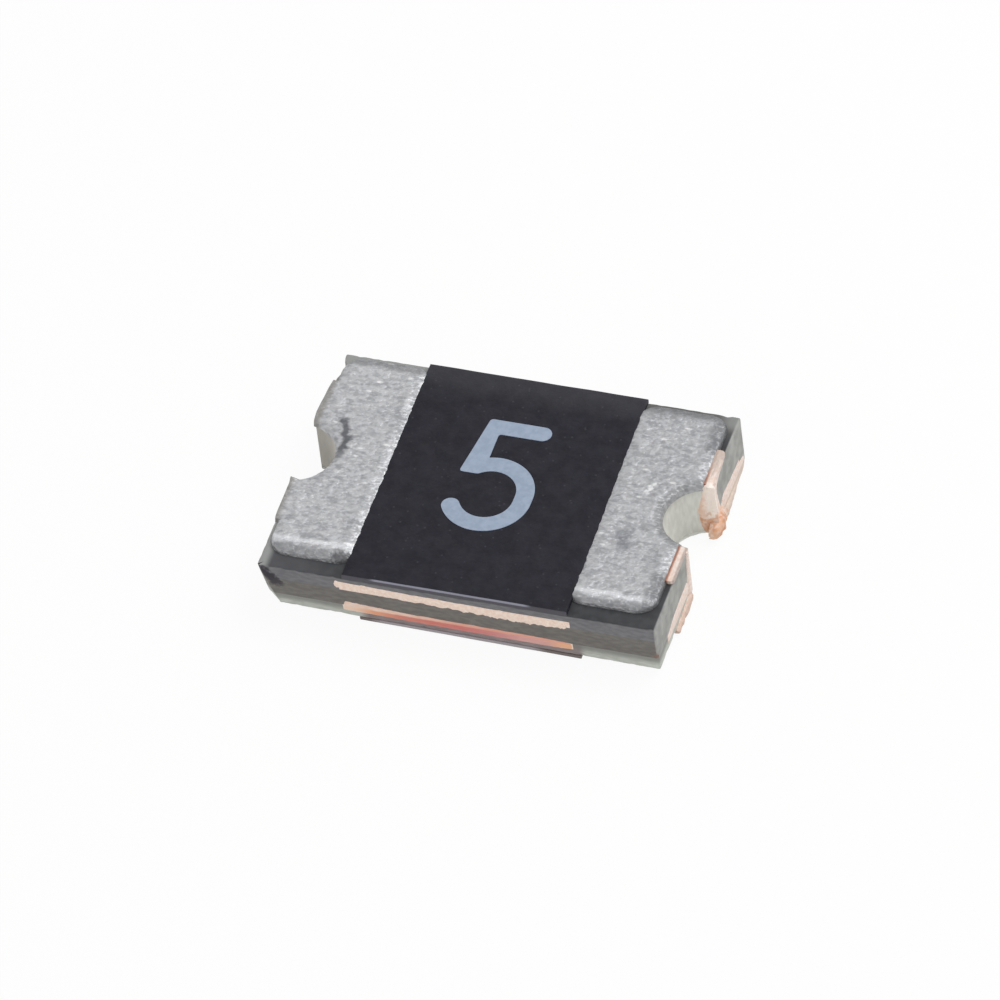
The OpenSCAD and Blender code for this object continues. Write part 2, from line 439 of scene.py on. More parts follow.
def paint_tin_edge_light_and_shade(look, wide):
    """Edges of the pads in painted light and shade: a painted highlight on the bead at the front, painted
    shade on the skirts, and a painted shadow at the front left corner.
    """
    skirt_shade_grey = (92, 93, 96)
    uneven = look.both(wide, 0.03)
    from_middle = look.math("ABSOLUTE", look.math("SUBTRACT", look.y, pattern_y))
    edge = look.math("ADD", look.math("ADD", from_middle, uneven), look.ramp(look.x, 0.5, -0.5, 0.0, 0.03))
    bead_highlight = look.between(edge, pad_half_width - 0.085, pad_half_width - 0.065, 0.035)
    # Painted highlight along the bead, strongest at the front
    look.lay((236, 237, 240), bead_highlight, look.ramp(look.y, 0.0, -0.5, 0.0, 0.5))
    side = look.ramp(edge, pad_half_width - 0.045, pad_half_width + 0.01, 0.0, 0.5)
    foot = look.ramp(look.z, pad_top - 0.01, pad_top - 0.03, 0.0, 0.6)
    skirt = look.both(look.math("MAXIMUM", side, foot), look.near_top())
    away = [look.ramp(look.from_hole(end), 0.36, 0.42) for end in (-1, 1)]
    # Painted shade on the skirts and the foot of the coats, kept away from the half holes
    look.lay(skirt_shade_grey, skirt, look.both(*away))
    outer = look.ramp(look.math("ADD", look.x, uneven), 1.48, 1.57, 0.0, 0.65)
    outer = look.both(outer, look.ramp(from_middle, NECK_HALF_WIDTH - 0.12, NECK_HALF_WIDTH))
    back = look.ramp(look.math("ADD", look.y, uneven), 1.01, 1.1, 0.0, 0.45)
    back = look.both(back, look.ramp(look.x, 0.5, 0.8))
    # Painted shade on the right pad's outer and back skirts
    look.lay(skirt_shade_grey, look.math("MAXIMUM", outer, back), look.near_top())
    # Painted shadow at the left pad's front corner by the mask
    look.lay((72, 73, 76), look.near_point((-1.01, -1.04, pad_top), 0.04, 0.07), 0.75)


def paint_hole_rim_light_and_shade(look, wide):
    """Rims of the half holes: a dark arc of painted shade by the left one; painted shade above the right one
    and painted light below it.
    """
    shade_arc_line = look.math("ADD", look.from_axis(-1.808, 0.186), look.both(wide, 0.04))
    rim_shade_arc = look.both(look.between(shade_arc_line, 0.445, 0.475, 0.045), look.ramp(look.y, -0.08, 0.16))
    # Painted shade: a dark arc where the tin rolls down into the left hole
    look.lay((84, 85, 90), look.both(rim_shade_arc, look.ramp(look.y, 0.49, 0.43)), 0.9)
    from_axis = look.from_hole(1)
    upper_rim_shade = look.both(look.between(from_axis, 0.355, 0.375, 0.045), look.near_top())
    # Painted shade on the upper rim of the right hole
    look.lay((104, 105, 105), upper_rim_shade, 0.5)
    # Painted light on the lower coat's rim at the right hole
    look.lay((208, 209, 202), look.math("SUBTRACT", look.ramp(from_axis, 0.37, 0.345), look.near_top()))


def tint_tin_marks(look):
    """A stain and a scratch on the right pad; the scratch is a painted glint."""
    for spot in ((1.14, -0.28), (1.17, -0.4)):
        look.lay((108, 110, 118), look.near_point((*spot, pad_top), 0.03, 0.07), 0.55)
    # The scratch as a painted glint: a row of bright spots
    for spot in ((1.18, 0.21), (1.2, 0.25), (1.222, 0.295)):
        look.lay((240, 240, 240), look.near_point((*spot, pad_top), 0.01, 0.02), 0.6)


def tin_finish():
    """Grainy plated tin with painted glints, darker at the right end, with a browner grey painted shade along
    the rounded left end.
    """
    look = Finish("grainy_tin", Metallic=0.5)
    close = look.grain(0.03, (1.6, 1, 1))
    wide = look.grain(0.075, (1.6, 1, 1))["Fine"]
    painted_glints = look.grain(0.05, (2.2, 1, 1))["Specks"]
    look.colour = look.mix(close["Fine"], (150, 151, 154), (186, 187, 190))
    look.lay((200, 200, 202), wide, 0.45)
    # Painted glints: bright specks that stand in for light caught by the grain
    look.lay((240, 240, 240), painted_glints, 0.7)
    look.lay((120, 121, 123), look.ramp(look.x, -0.5, 0.5), 0.14)
    paint_tin_edge_light_and_shade(look, wide)
    paint_hole_rim_light_and_shade(look, wide)
    tint_tin_marks(look)
    # Painted shade: a browner grey band along the rounded left end of the tin
    look.lay((128, 124, 118), look.ramp(look.x, -1.61, -1.668), 0.7)
    return look.done(close, (0.6, 0.4), 0.004)


def hole_tin_finish():
    """Smoother, paler tin on the wall of the half holes; browner and duller in the left one; painted shade
    near the top of the right one.
    """
    look = Finish("hole_tin", Metallic=0.2)
    close = look.grain(0.04, (1, 1, 3))
    look.colour = look.mix(close["Fine"], (212, 213, 206), (226, 227, 220))
    look.lay((196, 196, 188), close["Blotches"], 0.35)
    dull = look.mix(close["Blotches"], (196, 192, 186), (176, 170, 164))
    dull = look.mix(look.ramp(look.y, 0.2, 0.36, 0.0, 0.8), dull, (164, 162, 153))
    look.lay(dull, look.ramp(look.x, -1.0, -1.2))
    # Painted shade on the right hole's wall, darker towards its top rim
    rim = look.ramp(look.z, board_top - 0.08, board_top, 0.0, 0.25)
    look.lay((124, 125, 122), rim, look.ramp(look.x, 1.0, 1.2))
    return look.done(close, (0.6, 0.5), 0.002)


def copper_finish():
    """Bare copper beside the tin: pale pink, browner towards the tin, duller at the front and the back."""
    look = Finish("bare_copper", Metallic=0.15)
    close = look.grain(0.03)
    look.colour = look.mix(close["Fine"], (236, 214, 202), (244, 230, 222))
    look.lay((230, 186, 158), close["Blotches"], 0.25)
    look.lay((160, 110, 90), look.ramp(look.math("ABSOLUTE", look.x), 1.632, 1.612))
    sawn = look.ramp(look.x, 1.652, 1.668, 0.0, 0.7)
    look.lay((166, 152, 144), sawn, look.ramp(look.y, 0.0, -0.2))
    look.lay((196, 180, 170), look.ramp(look.y, 0.4, 0.7), 0.8)
    return look.done(close, (0.6, 0.45), 0.003)


def smeared_copper_finish():
    """Copper that the saw drew out: pale pink, with a painted highlight streak on the cut walls, an orange
    lump and dull burrs at the right end's foot.
    """
    look = Finish("smeared_copper", Metallic=0.15)
    close = look.grain(0.03)
    look.colour = look.mix(close["Fine"], (242, 216, 200), (249, 230, 216))
    from_middle = look.math("ABSOLUTE", look.x)
    on_end = look.ramp(from_middle, 1.6, 1.65, 0.0, 0.8)
    look.lay(look.mix(close["Fine"], (234, 212, 200), (242, 228, 220)), on_end)
    look.lay((222, 178, 146), look.between(from_middle, 1.5, 1.56, 0.06), 0.6)
    # Painted highlight: a near-white streak down the cut walls behind the half holes
    highlight_streak = look.both(look.between(look.y, 0.34, 0.41, 0.02), look.ramp(from_middle, 1.6, 1.64, 0.0, 0.8))
    look.lay((252, 240, 230), highlight_streak, look.ramp(look.z, 0.12, 0.25))
    on_neck = look.ramp(look.z, 0.54, 0.56)
    look.lay((200, 184, 174), on_neck, look.ramp(look.y, 0.42, 0.6, 0.0, 0.7))
    low = look.both(look.ramp(look.z, 0.11, 0.08), on_end)
    look.lay((206, 178, 162), low, look.between(look.y, -0.8, -0.35, 0.05))
    look.lay((208, 192, 178), low, look.ramp(look.y, 0.5, 0.6))
    orange = look.mix(close["Blotches"], (206, 142, 100), (228, 182, 150))
    look.lay(orange, look.near_point((chip_high.x, 0.4, 0.04), 0.09, 0.13))
    return look.done(close, (0.6, 0.45), 0.003)


def hot_copper_finish():
    """Copper that ran hot under the saw: peach at the left, then orange, red and violet, with a paler rim."""
    look = Finish("hot_copper", Metallic=0.15)
    close = look.grain(0.03, (3, 3, 1))
    way = add_node(look.tree, "ShaderNodeMapRange", i0=look.x, i1=-1.0, i2=1.0).outputs[0]
    heat = add_node(look.tree, "ShaderNodeValToRGB", Fac=way)
    stops = heat.color_ramp.elements
    shades = ((0.05, (246, 214, 190)), (0.13, (236, 168, 128)), (0.24, (214, 134, 116)),
              (0.5, (212, 120, 112)), (0.64, (212, 136, 132)), (0.76, (222, 166, 160)),
              (0.87, (222, 168, 158)), (0.93, (242, 184, 144)))
    for step, shade in shades[1:-1]:
        stops.new(step).color = linear(shade)
    for end in (0, -1):
        stops[end].position = shades[end][0]
        stops[end].color = linear(shades[end][1])
    look.colour = heat.outputs["Color"]
    cool = look.mix(close["Fine"], (236, 204, 184), (244, 220, 204))
    rim = look.mix(look.ramp(look.x, -0.9, 0.3, 0.0, 0.65), cool, (222, 132, 106))
    look.lay(rim, look.ramp(look.z, 0.172, 0.19))
    return look.done(close, (0.6, 0.45), 0.003)


def bare_top_with_painted_shade(look, wide):
    """Bare board beside the pads: dark grey as painted shade beside the tin, paler to the left and the back,
    palest by the left end.
    """
    shade = look.mix(wide, (48, 49, 52), (62, 63, 66))
    shade = look.mix(look.ramp(look.x, -0.8, -1.6, 0.0, 0.7), shade, (88, 88, 92))
    shade = look.mix(look.ramp(look.y, 0.9, 1.1, 0.0, 0.85), shade, (106, 106, 104))
    left_end = look.ramp(look.x, -1.56, -1.63)
    left_back = look.both(look.ramp(look.y, 1.04, 1.1), look.ramp(look.x, -0.85, -1.0))
    right_back = look.both(look.ramp(look.y, 1.0, 1.12, 0.0, 0.7), look.ramp(look.x, 1.48, 1.62))
    pale = look.math("MAXIMUM", look.math("MAXIMUM", left_end, left_back), right_back)
    return look.mix(look.both(pale, 0.85), shade, (162, 164, 162))


def board_finish(name, dark, light):
    """Sawn board: two greys in fine grain on the sides, a bare top in painted shade, paler on the ends as
    smeared resin and partly painted light, a few dark spots.
    """
    look = Finish(name, Specular_IOR_Level=0.3)
    close = look.grain(0.03, (2.5, 2.5, 1))
    wide = look.grain(0.09)["Fine"]
    look.colour = look.mix(close["Fine"], dark, light)
    # The bare top, dark grey as painted shade beside the tin
    look.lay(bare_top_with_painted_shade(look, wide), look.ramp(look.z, board_top - 0.012, board_top - 0.002))
    # Paler sawn ends: partly smeared resin, partly painted light
    sawn_end_and_light = look.mix(wide, (150, 150, 147), (172, 173, 169))
    look.lay(sawn_end_and_light, look.ramp(look.math("ABSOLUTE", look.x), 1.652, 1.668))
    for spot in ((-1.625, -1.18, 0.46), (-1.58, -1.185, 0.41), (-1.535, -1.19, 0.36)):
        look.lay((56, 52, 58), look.near_point(spot, 0.025, 0.05))
    look.lay((136, 104, 92), look.near_point((chip_high.x, chip_low.y, 0.21), 0.012, 0.04))
    return look.done(close, (0.7, 0.55), 0.001, mottle="Blotches")


def lower_glass_finish():
    """Clear glass-epoxy: pale as painted light from the floor through it, with greenish grain, dark where the
    lower mask lies under it, and darker higher up as painted shade.
    """
    look = Finish("lower_glass_epoxy", Specular_IOR_Level=0.3)
    close = look.grain(0.03, (3, 3, 1))
    # Painted light: the pale base stands for the floor's light through the glass
    look.colour = look.mix(close["Fine"], (188, 192, 182), (206, 209, 201))
    left = look.ramp(look.x, lower_mask_low.x - 0.02, lower_mask_low.x + 0.1)
    right = look.ramp(look.x, lower_mask_high.x + 0.06, lower_mask_high.x - 0.02)
    look.lay(look.mix(close["Fine"], (138, 126, 126), (152, 140, 140)), left, right)
    # Painted shade: darker higher up, away from the floor
    look.lay((124, 124, 120), look.ramp(look.z, 0.09, 0.17), 0.8)
    return look.done(close, (0.6, 0.45), 0.001, mottle="Blotches")


def mask_finish():
    """Matte black coat with faint specks, greyed where the saw cut it, with a painted highlight along the
    upper one's cut front edge and a grey front face on the lower one that is paler in the middle as a painted
    highlight.
    """
    look = Finish("black_coat", Specular_IOR_Level=0.12)
    close = look.grain(0.035)
    look.colour = look.mix(look.grain(0.12)["Fine"], (34, 34, 41), (42, 42, 49))
    look.lay((84, 84, 90), close["Specks"], 0.3)
    look.lay((110, 110, 114), look.ramp(look.y, 0.85, 1.15), 0.16)
    sawn = look.ramp(look.math("ABSOLUTE", look.y), chip_high.y - 0.012, chip_high.y - 0.002)
    look.lay((98, 96, 102), sawn, 0.8)
    lower_front_grey_and_highlight = look.mix(look.between(look.x, -0.65, 0.58, 0.15), (132, 122, 120), (182, 176, 180))
    # The lower mask's sawn front face: grey, paler in the middle as a painted highlight
    look.lay(lower_front_grey_and_highlight, look.ramp(look.z, 0.07, 0.055), look.ramp(look.y, -1.09, -1.12))
    # Painted highlight: a pale line along the upper mask's cut front edge
    lip_highlight = look.both(look.ramp(look.y, chip_low.y + 0.016, chip_low.y + 0.006),
                    look.ramp(look.z, upper_mask_high.z - 0.014, upper_mask_high.z - 0.008))
    look.lay((150, 150, 164), lip_highlight, look.between(look.x, -0.66, 0.57, 0.08))
    return look.done(close, (0.65, 0.5), 0.0015)


def ink_finish():
    """Pale blue print with tiny dark specks."""
    look = Finish("pale_ink", Specular_IOR_Level=0.2)
    close = look.grain(0.05)
    look.colour = look.mix(close["Fine"], (153, 167, 188), (163, 177, 197))
    look.lay((110, 120, 140), close["Specks"], 0.15)
    return look.done(close, (0.65, 0.55), 0.001)


tin = tin_finish()
hole_tin = hole_tin_finish()
copper = copper_finish()
smeared_copper = smeared_copper_finish()
hot_copper = hot_copper_finish()
core_polymer = board_finish("core_polymer", (108, 105, 101), (122, 119, 114))
upper_glass = board_finish("upper_glass_epoxy", (110, 110, 114), (124, 124, 127))
lower_glass_painted_lit = lower_glass_finish()
black_coat = mask_finish()
pale_ink = ink_finish()


# Board layers

def on_limit(value, limit):
    """Whether a coordinate lies on a limit, at either side of the middle."""
    return abs(abs(value) - limit) < TOUCH


def is_worn_edge(edge):
    """Whether an edge is one of the outer edges that sawing and handling wear down."""
    first, second = (vert.co for vert in edge.verts)
    if edge.calc_face_angle(0) < math.radians(25):
        return False
    on_end = on_limit(first.x, chip_high.x) and on_limit(second.x, chip_high.x)
    on_side = on_limit(first.y, chip_high.y) and on_limit(second.y, chip_high.y)
    level = abs(first.z - second.z) < TOUCH
    outer = min(abs(first.z - board_top), abs(first.z - board_bottom)) < TOUCH
    if level:
        return outer and (on_end or on_side)
    return on_end and on_side


def saw_faces(shape):
    """Leaves waves on the four sawn faces, chips along their outer edges and a nip; all fade inwards."""
    for vert in shape.verts:
        place = vert.co.copy()
        wave = 0.5 + 0.5 * noise.noise(place / SAW_WAVE_LENGTH)
        rim = max(0.0, 1 - min(board_top - place.z, place.z - board_bottom) / CHIP_HEIGHT)
        chip = rim * max(0.0, noise.noise(place / CHIP_LENGTH + CHIP_SHIFT) - CHIP_SPARED)
        depth = SAW_WAVE * wave + EDGE_CHIP * chip
        if place.x < 0:
            depth += CORNER_NIP * smooth_share(NIP_REACH - abs(place.y - NIP_PLACE), NIP_REACH)
        for axis, limit in ((0, chip_high.x), (1, chip_high.y)):
            fade = 1 - share_of(limit - abs(place[axis]), SAW_REACH)
            vert.co[axis] -= math.copysign(depth * fade, place[axis])


def cad_shape(node):
    """A copy of a CAD solid in millimetres, with its flat faces whole."""
    shape = bmesh.new()
    shape.from_mesh(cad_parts[node].data)
    bmesh.ops.scale(shape, vec=(1 / MM, 1 / MM, 1 / MM), verts=shape.verts)
    bmesh.ops.remove_doubles(shape, verts=shape.verts, dist=0.0005)
    bmesh.ops.dissolve_limit(shape, angle_limit=math.radians(1), verts=shape.verts, edges=shape.edges)
    return shape


def board_layer(node, finish):
    """A sawn layer: the CAD solid with worn outer edges and slightly wavy faces."""
    shape = cad_shape(node)
    worn = [edge for edge in shape.edges if is_worn_edge(edge)]
    round_off(shape, worn, EDGE_WEAR, 3)
    slice_shape(shape, 0, chip_low.x, chip_high.x, BOARD_CELL)
    slice_shape(shape, 1, chip_low.y, chip_high.y, BOARD_CELL)
    saw_faces(shape)
    make_piece(shape, node + "_sawn", finish, [node], crease=30)


board_layer("ptc_core", core_polymer)
board_layer("upper_prepreg", upper_glass)
board_layer("lower_prepreg", lower_glass_painted_lit)


# Copper inside the board and at the ends

def foil_sheet(node):
    """A foil as in the CAD model, cut into cells so that it follows the sawn faces."""
    shape = cad_shape(node)
    slice_shape(shape, 1, chip_low.y, chip_high.y, 2 * BOARD_CELL)
    make_piece(shape, node + "_copper", smeared_copper, [node], crease=30)


def is_neck_corner(edge):
    """Whether an edge is an upright corner of a neck at its sawn end."""
    for vert in edge.verts:
        on_neck = on_limit(vert.co.y - pattern_y, NECK_HALF_WIDTH)
        if not (on_neck and on_limit(vert.co.x, chip_high.x)):
            return False
    return True


def terminal_copper(node):
    """Copper of one end as in the CAD model, with the sawn corners of its necks worn round."""
    shape = cad_shape(node)
    corners = [edge for edge in shape.edges if is_neck_corner(edge)]
    round_off(shape, corners, NECK_WEAR, 5)
    make_piece(shape, node + "_copper", copper, [node], crease=30)


foil_sheet("upper_foil")
foil_sheet("lower_foil")
terminal_copper("left_terminal")
terminal_copper("right_terminal")


# Copper smeared over the sawn faces

def sawn_face(axis, level):
    """The places on a flat sawn face: along it, at a height, and some way out of it."""
    outward = math.copysign(1, level)

    def place(along, height, out):
        spot = Vector((along, along, height))
        spot[axis] = level + outward * out
        return spot

    return place


front_face = sawn_face(1, chip_low.y)
back_face = sawn_face(1, chip_high.y)
right_face = sawn_face(0, chip_high.x)
left_face = sawn_face(0, chip_low.x)


def right_hole_face(along, height, out):
    """A place on the wall of the right half hole; along runs into the hole from its sawn back edge."""
    centre = Vector((pattern_x + HOLE_OFFSET, pattern_y, height))
    turn = math.acos((chip_high.x - centre.x) / RIM_RADIUS) + along / RIM_RADIUS
    return centre + (RIM_RADIUS - out) * Vector((math.cos(turn), math.sin(turn), 0))


def right_neck_face(along, height, out):
    """A place on the top of the right end's necks; height runs inwards from the sawn end."""
    return Vector((chip_high.x - height, along, right_copper_high.z + out))


def smooth_path(stations, share):
    """The smooth line through a few stations, at a share from 0 to 1 of its way."""
    spans = len(stations) - 1
    way = min(max(share, 0.0), 1.0) * spans
    index = min(int(way), spans - 1)
    part = way - index
    before = stations[max(index - 1, 0)]
    start = stations[index]
    end = stations[index + 1]
    after = stations[min(index + 2, spans)]
    bend = 2 * before - 5 * start + 4 * end - after
    twist = 3 * (start - end) + after - before
    return start + (part * (end - before) + part ** 2 * bend + part ** 3 * twist) / 2


def smear(name, face, stations, finish=smeared_copper, proud=0.006, root=0.02, ragged=(0.1, 0.1), drift=0):
    """A ragged copper smear on a sawn face, drawn out along a few stations.

    A station gives a place along the face, a height, half a width and, where it differs, how far the smear
    stands out. The smear is rooted in the face to a given depth. The ragged shares belong to its right and
    left edge, seen along its way.
    """
    stations = [Vector((*station, proud)[:4]) for station in stations]
    length = sum((end.xy - start.xy).length for start, end in zip(stations, stations[1:]))
    shape = bmesh.new()
    bmesh.ops.create_grid(shape, x_segments=max(6, round(length / SMEAR_CELL)), y_segments=8, size=0.5)
    for vert in shape.verts:
        share = vert.co.x + 0.5
        across = 2 * vert.co.y
        station = smooth_path(stations, share)
        before = smooth_path(stations, share - SMEAR_GLANCE)
        after = smooth_path(stations, share + SMEAR_GLANCE)
        ahead = (after - before).xy.normalized()
        from_end = min(1.0, min(share, 1 - share) * length / station.z)
        half_width = station.z * max(SMEAR_BLUNT, math.sqrt(1 - (1 - from_end) ** 2))
        roughness = ragged[1] if across > 0 else ragged[0]
        spot = Vector((share * length / SMEAR_LUMP + drift, 10 * math.copysign(1, across), drift))
        wander = roughness * noise.noise(spot)
        wander += SECOND_STRENGTH * roughness * noise.noise(SECOND_FINENESS * spot)
        edge = half_width * across * (1 + wander)
        along = station.x - ahead.y * edge
        height = station.y + ahead.x * edge
        lump = 1 + LUMP_SHARE * noise.noise(Vector((along, height, drift)) / SMEAR_LUMP)
        dome = (1 - across ** 4) * (END_SHARE + (1 - END_SHARE) * smooth_share(from_end, 1))
        vert.co = face(along, height, station.w * dome * lump - SMEAR_SINK * across ** 4)
    skirt = bmesh.ops.extrude_edge_only(shape, edges=open_edges(shape))["geom"]
    inward = face(0, 0, 0) - face(0, 0, root)
    bmesh.ops.translate(shape, vec=inward, verts=verts_of(skirt))
    close_holes(shape)
    make_piece(shape, name, finish)


# Foil edges on the long sides, as the saw drew them out
smear("front_upper_smear", front_face,
      [(-1.03, 0.452, 0.04), (-0.7, 0.434, 0.048), (0.0, 0.418, 0.05), (0.5, 0.405, 0.055),
       (0.92, 0.397, 0.03)], ragged=(0.5, 0.06))
smear("front_lower_smear", front_face,
      [(-0.98, 0.185, 0.06), (-0.75, 0.17, 0.057), (-0.3, 0.159, 0.054), (0.3, 0.156, 0.053),
       (0.75, 0.154, 0.05), (0.94, 0.152, 0.04)], hot_copper, drift=20)
smear("back_upper_smear", back_face,
      [(0.97, 0.43, 0.04), (0.4, 0.42, 0.05), (-0.4, 0.42, 0.05), (-0.99, 0.44, 0.04)],
      ragged=(0.1, 0.5), drift=40)
smear("back_lower_smear", back_face,
      [(0.95, 0.16, 0.04), (0.4, 0.15, 0.05), (-0.4, 0.16, 0.045), (-0.99, 0.165, 0.04)],
      ragged=(0.1, 0.3), drift=60)

# Right end: cut walls of the half hole with the necks, a lump at the foot, the lower foil, and burrs
smear("right_back_wall_smear", right_face,
      [(0.7, 0.555, 0.012), (0.56, 0.545, 0.022), (0.45, 0.5, 0.05), (0.425, 0.42, 0.055), (0.435, 0.3, 0.07),
       (0.45, 0.17, 0.085), (0.44, 0.07, 0.08)], proud=0.012, drift=80)
smear("right_back_hole_smear", right_hole_face,
      [(0.02, 0.566, 0.05), (0.035, 0.45, 0.055), (0.05, 0.3, 0.08), (0.045, 0.15, 0.075),
       (0.03, 0.02, 0.06)], drift=90)
smear("right_back_neck_smear", right_neck_face,
      [(0.62, 0.02, 0.014), (0.52, 0.021, 0.018), (0.44, 0.024, 0.026), (0.362, 0.027, 0.03)],
      proud=0.004, root=0.03, drift=95)
smear("right_back_lump", right_face,
      [(0.28, 0.07, 0.05, 0.04), (0.36, 0.082, 0.072, 0.06), (0.47, 0.096, 0.088, 0.06),
       (0.58, 0.12, 0.07, 0.03)], root=0.03, ragged=(0.06, 0.06), drift=180)
smear("right_back_foil_smear", right_face,
      [(1.17, 0.075, 0.05), (0.93, 0.108, 0.09), (0.55, 0.15, 0.1)], drift=100)
smear("right_back_foot_burr", right_face,
      [(1.15, 0.04, 0.03, 0.004), (0.9, 0.036, 0.03, 0.015), (0.7, 0.042, 0.035, 0.035),
       (0.5, 0.058, 0.05, 0.04)], root=0.012, ragged=(0.08, 0.08), drift=110)
smear("right_front_wall_smear", right_face,
      [(-0.325, 0.55, 0.02), (-0.33, 0.45, 0.03), (-0.335, 0.35, 0.035), (-0.345, 0.2, 0.045),
       (-0.35, 0.06, 0.05)], proud=0.012, ragged=(0.08, 0.08), drift=120)
smear("right_front_foil_smear", right_face,
      [(-0.95, 0.155, 0.04), (-0.71, 0.19, 0.062), (-0.37, 0.2, 0.062)], drift=140)
smear("right_front_neck_burr", right_face,
      [(-0.75, 0.035, 0.02), (-0.58, 0.045, 0.035), (-0.33, 0.055, 0.045)],
      proud=0.03, root=0.012, drift=160)

# Left end: cut walls of the half hole with the necks, and the upper foil
smear("left_back_wall_smear", left_face,
      [(0.74, 0.53, 0.015), (0.6, 0.525, 0.025), (0.45, 0.48, 0.04), (0.43, 0.3, 0.05), (0.43, 0.06, 0.05)],
      ragged=(0.08, 0.08), drift=200)
smear("left_back_foil_smear", left_face,
      [(1.03, 0.42, 0.03), (0.8, 0.425, 0.05), (0.45, 0.42, 0.05)], drift=220)
smear("left_front_wall_smear", left_face,
      [(-0.66, 0.53, 0.012), (-0.5, 0.525, 0.02), (-0.34, 0.49, 0.035), (-0.34, 0.3, 0.04),
       (-0.35, 0.06, 0.05)], ragged=(0.08, 0.08), drift=240)
smear("left_front_foil_smear", left_face,
      [(-0.94, 0.42, 0.03), (-0.7, 0.425, 0.05), (-0.36, 0.42, 0.05)], drift=260)


# Tin of both ends

def tin_outline(outer, with_neck):
    """A right-hand pad as one flat face on the board, with a round notch in its outer end."""
    draft = bmesh.new()
    half_width = pad_half_width + TIN_GROWTH
    inner = pad_inner - TIN_GROWTH
    end = HOLE_OFFSET if with_neck else outer
    gap = HOLE_OFFSET - end
    half_notch = math.sqrt(RIM_RADIUS ** 2 - gap ** 2)
    path = [(outer, half_width), (inner, half_width), (inner, -half_width), (outer, -half_width)]
    if with_neck:
        neck = NECK_HALF_WIDTH + TIN_GROWTH
        path = [(end, neck), (outer, neck), *path, (outer, -neck), (end, -neck)]
    path = [(end, half_notch), *path, (end, -half_notch)]
    verts = [draft.verts.new((x, y, board_top)) for x, y in path]
    for start, stop in zip(verts, verts[1:]):
        draft.edges.new((start, stop))
    swing = 2 * math.atan2(half_notch, gap)
    centre = (HOLE_OFFSET, 0, board_top)
    bmesh.ops.spin(draft, geom=[verts[0]], cent=centre, axis=UP, angle=swing, steps=40)
    fill_outline(draft)
    corners = [vert for vert in draft.verts if on_limit(vert.co.y, half_width)]
    round_off(draft, corners, TIN_CORNER, 8, affect="VERTICES")
    draft.normal_update()
    if draft.faces[:][0].normal.z < 0:
        bmesh.ops.reverse_faces(draft, faces=draft.faces)
    return draft


def pad_distance(x, y, outer):
    """How far a place lies inside the rounded outline of a right-hand pad's tin."""
    inner = pad_inner - TIN_GROWTH
    past_x = abs(x - (inner + outer) / 2) - (outer - inner) / 2 + TIN_CORNER
    past_y = abs(y) - pad_half_width - TIN_GROWTH + TIN_CORNER
    corner = math.hypot(max(past_x, 0), max(past_y, 0))
    return TIN_CORNER - corner - min(max(past_x, past_y), 0)


def tin_height(x, y, outer, with_neck, mask_edge, mask_lean):
    """Height of a right-hand pad's tin above the board: a round skirt, a bead along its top and a plateau."""
    inside = pad_distance(x, y, outer)
    if with_neck:
        inside = max(inside, min(NECK_HALF_WIDTH + TIN_GROWTH - abs(y), x - outer + 2 * SKIRT_WIDTH))
    inside = min(inside, math.hypot(x - HOLE_OFFSET, y) - RIM_RADIUS)
    inside = min(inside, x - mask_edge + mask_lean * y + MASK_OVERLAP)
    foot = FOOT_RISE * math.sqrt(1 - (1 - share_of(inside, FOOT_WIDTH)) ** 2)
    slope = (pad_top - board_top + BEAD_RISE - FOOT_RISE) * smooth_share(inside, SKIRT_WIDTH)
    return foot + slope - BEAD_RISE * smooth_share(inside - SKIRT_WIDTH, BEAD_WIDTH)


def swell(verts, place, radius, push):
    """Pushes vertices near a place, falling off smoothly to nothing at a radius."""
    place = Vector(place)
    for vert in verts:
        vert.co += Vector(push) * smooth_share(radius - (vert.co - place).length, radius)


def tin_coat(outer, with_neck, sawn_end, mask_edge, mask_lean, drift):
    """A right-hand top coat, broken into grain and standing a little deep in the board."""
    draft = tin_outline(outer, with_neck)
    slice_shape(draft, 0, pad_inner - TIN_GROWTH, HOLE_OFFSET, TIN_CELL)
    foot = pad_half_width + TIN_GROWTH
    slice_shape(draft, 1, -foot, foot, FOOT_WIDTH / 2)
    cut(draft, (mask_edge - MASK_OVERLAP, 0, 0), (-1, -mask_lean, 0), clear=True)
    cut(draft, (sawn_end, 0, 0), (1, 0, 0), clear=True)
    for vert in draft.verts:
        vert.co.z += tin_height(vert.co.x, vert.co.y, outer, with_neck, mask_edge, mask_lean)
    draft.normal_update()
    raised = [vert for vert in draft.verts if vert.co.z > board_top + GRAIN_START]
    roughen(raised, *COARSE_GRAIN, drift)
    roughen(raised, *FINE_GRAIN, drift + 5)
    by_mask = [vert for vert in raised if vert.co.x < mask_edge + MASK_OVERLAP]
    roughen(by_mask, *MASK_SIDE_GRAIN, drift + 9)
    skirt = bmesh.ops.extrude_edge_only(draft, edges=open_edges(draft))["geom"]
    for vert in verts_of(skirt):
        vert.co.z = board_top - TIN_ROOT
    close_holes(draft)
    return draft


def hole_lining(sawn_end):
    """The lining of a right-hand half hole up to the sawn end."""
    draft = bmesh.new()
    near = RIM_RADIUS + LINING_SETBACK
    far = near + LINING_DEPTH
    high = board_top + LINING_RISE
    low = 2 * board_middle - high
    loop = [draft.verts.new((HOLE_OFFSET, reach, height))
            for reach, height in ((near, low), (near, high), (far, high), (far, low))]
    for first, second in zip(loop, loop[1:] + loop[:1]):
        draft.edges.new((first, second))
    profile = draft.verts[:] + draft.edges[:]
    bmesh.ops.spin(draft, geom=profile, cent=(HOLE_OFFSET, 0, 0), axis=UP, angle=math.pi, steps=64)
    cut(draft, (sawn_end, 0, 0), (1, 0, 0), clear=True)
    close_holes(draft)
    return draft


